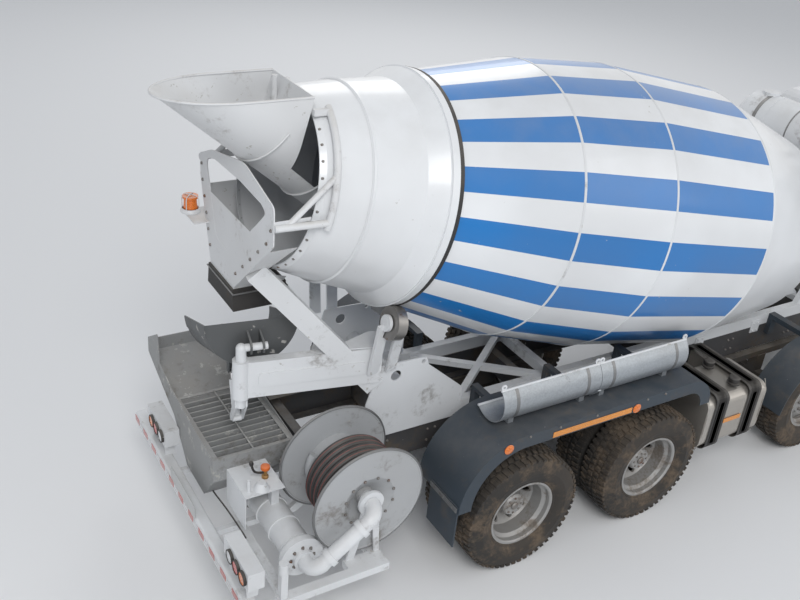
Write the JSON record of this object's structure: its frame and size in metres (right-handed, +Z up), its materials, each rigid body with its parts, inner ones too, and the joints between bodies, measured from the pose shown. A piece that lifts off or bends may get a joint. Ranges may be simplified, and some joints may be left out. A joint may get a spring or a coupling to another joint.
{
  "type": "concrete mixer truck",
  "caption": "Rigid concrete mixer truck with an inclined striped drum, rear hoppers, a swinging discharge chute, a hose reel and a small rear pump.",
  "frame": {"origin": "on the ground under the middle of the truck's bounding box", "axes": "+X forward, +Y to the left, +Z up"},
  "size_m": [9.48, 2.96, 3.8142],
  "materials": {
    "chassis_paint": "matt dark grey paint, dusty",
    "cast_steel": "matt, dirty",
    "polished_aluminium": "polished, a little dusty",
    "dark_plastic": "matt dark blue-grey",
    "bumper_paint": "satin white paint",
    "lamp_lens": "glossy coloured lens",
    "light_grey_paint": "satin light grey paint with cement dust",
    "roller_steel": "worn bright",
    "black_rubber": "matt",
    "tray_paint": "matt dark grey with cement",
    "galvanised": "galvanised, spangled",
    "cab_paint": "gloss white paint",
    "clear_glass": "clear, slightly green",
    "black_trim": "matt black",
    "seat_cloth": "woven cloth",
    "rod_chrome": "polished",
    "drum_paint": "gloss blue and white stripes",
    "tyre_rubber": "matt, dusty",
    "rim_paint": "satin silver paint, dusty"
  },
  "bodies": {
    "chassis": {"frame_rails": "chassis_paint", "steer_axles": "cast_steel", "drive_axles": "cast_steel", "engine": "cast_steel", "fuel_tank": "polished_aluminium", "side_boxes": "dark_plastic", "rear_mudguards": "dark_plastic", "steer_mudguards": "dark_plastic", "front_bumper": "bumper_paint", "lamps": "lamp_lens", "mixer_subframe": "light_grey_paint", "rear_pedestal": "light_grey_paint", "drum_gearbox": "cast_steel", "water_tank": "light_grey_paint", "charging_hopper": "light_grey_paint", "discharge_hopper": "light_grey_paint", "hopper_skirt": "black_rubber", "grate_hopper": "tray_paint", "pump_unit": "light_grey_paint", "reel_frame": "light_grey_paint", "underrun_bar": "light_grey_paint", "extension_chutes": "galvanised"},
    "cab": {"cab_shell": "cab_paint", "cab_glass": "clear_glass", "cab_trim": "black_trim", "cab_interior": "dark_plastic", "cab_seats": "seat_cloth"},
    "door_left": {"door_left": "cab_paint", "door_glass_left": "clear_glass"},
    "door_right": {"door_right": "cab_paint", "door_glass_right": "clear_glass"},
    "knuckle_1_left": {"knuckle_1_left": "cast_steel"},
    "knuckle_1_right": {"knuckle_1_right": "cast_steel"},
    "knuckle_2_left": {"knuckle_2_left": "cast_steel"},
    "knuckle_2_right": {"knuckle_2_right": "cast_steel"},
    "drum": {"drum_shell": "drum_paint"},
    "roller_left": {"roller_left": "roller_steel"},
    "roller_right": {"roller_right": "roller_steel"},
    "chute_swivel": {"swivel_post": "light_grey_paint"},
    "chute": {"swivel_chute": "tray_paint"},
    "jack_tube": {"chute_jack": "light_grey_paint"},
    "jack_rod": {"chute_jack_rod": "rod_chrome"},
    "hose_reel": {"hose_reel": "light_grey_paint", "reel_hose": "black_rubber"},
    "wheel_1_left": {"tyre_1_left": "tyre_rubber", "rim_1_left": "rim_paint"},
    "wheel_1_right": {"tyre_1_right": "tyre_rubber", "rim_1_right": "rim_paint"},
    "wheel_2_left": {"tyre_2_left": "tyre_rubber", "rim_2_left": "rim_paint"},
    "wheel_2_right": {"tyre_2_right": "tyre_rubber", "rim_2_right": "rim_paint"},
    "wheel_3_left": {"tyre_3_left": "tyre_rubber", "rim_3_left": "rim_paint"},
    "wheel_3_right": {"tyre_3_right": "tyre_rubber", "rim_3_right": "rim_paint"},
    "wheel_4_left": {"tyre_4_left": "tyre_rubber", "rim_4_left": "rim_paint"},
    "wheel_4_right": {"tyre_4_right": "tyre_rubber", "rim_4_right": "rim_paint"}
  },
  "joints": [
    {"name": "cab_tilt", "type": "hinge", "parent": "chassis", "child": "cab", "pos_m": [4.62, 0, 0.85], "axis": [0, 1, 0], "range_deg": [0, 55]},
    {"name": "door_left_hinge", "type": "hinge", "parent": "cab", "child": "door_left", "pos_m": [4.285, 1.252, 1.5], "axis": [0, 0, -1], "range_deg": [0, 70]},
    {"name": "door_right_hinge", "type": "hinge", "parent": "cab", "child": "door_right", "pos_m": [4.285, -1.252, 1.5], "axis": [0, 0, 1], "range_deg": [0, 70]},
    {"name": "steer_1_left", "type": "hinge", "parent": "chassis", "child": "knuckle_1_left", "pos_m": [3.3, 0.88, 0.537], "axis": [0, 0, 1], "range_deg": [-35, 35]},
    {"name": "steer_1_right", "type": "hinge", "parent": "chassis", "child": "knuckle_1_right", "pos_m": [3.3, -0.88, 0.537], "axis": [0, 0, 1], "range_deg": [-35, 35]},
    {"name": "steer_2_left", "type": "hinge", "parent": "chassis", "child": "knuckle_2_left", "pos_m": [1.42, 0.88, 0.537], "axis": [0, 0, 1], "range_deg": [-22.75, 22.75]},
    {"name": "steer_2_right", "type": "hinge", "parent": "chassis", "child": "knuckle_2_right", "pos_m": [1.42, -0.88, 0.537], "axis": [0, 0, 1], "range_deg": [-22.75, 22.75]},
    {"name": "wheel_1_left_spin", "type": "hinge", "parent": "knuckle_1_left", "child": "wheel_1_left", "pos_m": [3.3, 1.02, 0.537], "axis": [0, 1, 0], "continuous": true},
    {"name": "wheel_1_right_spin", "type": "hinge", "parent": "knuckle_1_right", "child": "wheel_1_right", "pos_m": [3.3, -1.02, 0.537], "axis": [0, 1, 0], "continuous": true},
    {"name": "wheel_2_left_spin", "type": "hinge", "parent": "knuckle_2_left", "child": "wheel_2_left", "pos_m": [1.42, 1.02, 0.537], "axis": [0, 1, 0], "continuous": true},
    {"name": "wheel_2_right_spin", "type": "hinge", "parent": "knuckle_2_right", "child": "wheel_2_right", "pos_m": [1.42, -1.02, 0.537], "axis": [0, 1, 0], "continuous": true},
    {"name": "wheel_3_left_spin", "type": "hinge", "parent": "chassis", "child": "wheel_3_left", "pos_m": [-0.88, 0.922, 0.537], "axis": [0, 1, 0], "continuous": true},
    {"name": "wheel_3_right_spin", "type": "hinge", "parent": "chassis", "child": "wheel_3_right", "pos_m": [-0.88, -0.922, 0.537], "axis": [0, 1, 0], "continuous": true},
    {"name": "wheel_4_left_spin", "type": "hinge", "parent": "chassis", "child": "wheel_4_left", "pos_m": [-2.26, 0.922, 0.537], "axis": [0, 1, 0], "continuous": true},
    {"name": "wheel_4_right_spin", "type": "hinge", "parent": "chassis", "child": "wheel_4_right", "pos_m": [-2.26, -0.922, 0.537], "axis": [0, 1, 0], "continuous": true},
    {"name": "drum_spin", "type": "hinge", "parent": "chassis", "child": "drum", "pos_m": [-2.26, 0, 2.782], "axis": [0.9764, 0, -0.2161], "continuous": true},
    {"name": "roller_left_spin", "type": "hinge", "parent": "chassis", "child": "roller_left", "pos_m": [-3.22767, 0.56973, 2.16282], "axis": [0.9764, 0, -0.2161], "continuous": true},
    {"name": "roller_right_spin", "type": "hinge", "parent": "chassis", "child": "roller_right", "pos_m": [-3.22767, -0.56973, 2.16282], "axis": [0.9764, 0, -0.2161], "continuous": true},
    {"name": "chute_swing", "type": "hinge", "parent": "chassis", "child": "chute_swivel", "pos_m": [-4.233, -0.19, 1.7], "axis": [0, 0, 1], "range_deg": [-5, 150]},
    {"name": "chute_tilt", "type": "hinge", "parent": "chute_swivel", "child": "chute", "pos_m": [-4.233, -0.19, 1.975], "axis": [0.9863, -0.165, 0], "range_deg": [-4, 12]},
    {"name": "jack_pivot", "type": "hinge", "parent": "chute_swivel", "child": "jack_tube", "pos_m": [-4.21154, -0.06178, 1.285], "axis": [0.9863, -0.165, 0], "range_deg": [-5.22, 2.08]},
    {"name": "jack_slide", "type": "slide", "parent": "jack_tube", "child": "jack_rod", "axis": [0.0708, 0.423, 0.9034], "range_m": [-0.0318, 0.0915]},
    {"name": "hose_reel_spin", "type": "hinge", "parent": "chassis", "child": "hose_reel", "pos_m": [-3.61, 0, 1.045], "axis": [0, 1, 0], "continuous": true}
  ],
  "couplings": [
    {"joint": "steer_1_right", "follows": "steer_1_left", "ratio": 1},
    {"joint": "steer_2_left", "follows": "steer_1_left", "ratio": 0.65},
    {"joint": "steer_2_right", "follows": "steer_1_left", "ratio": 0.65},
    {"joint": "roller_left_spin", "follows": "drum_spin", "ratio": -6.944},
    {"joint": "roller_right_spin", "follows": "drum_spin", "ratio": -6.944},
    {"joint": "jack_pivot", "follows": "chute_tilt", "ratio": -0.39374},
    {"joint": "jack_slide", "follows": "chute_tilt", "m_per_rad": 0.42726}
  ]
}
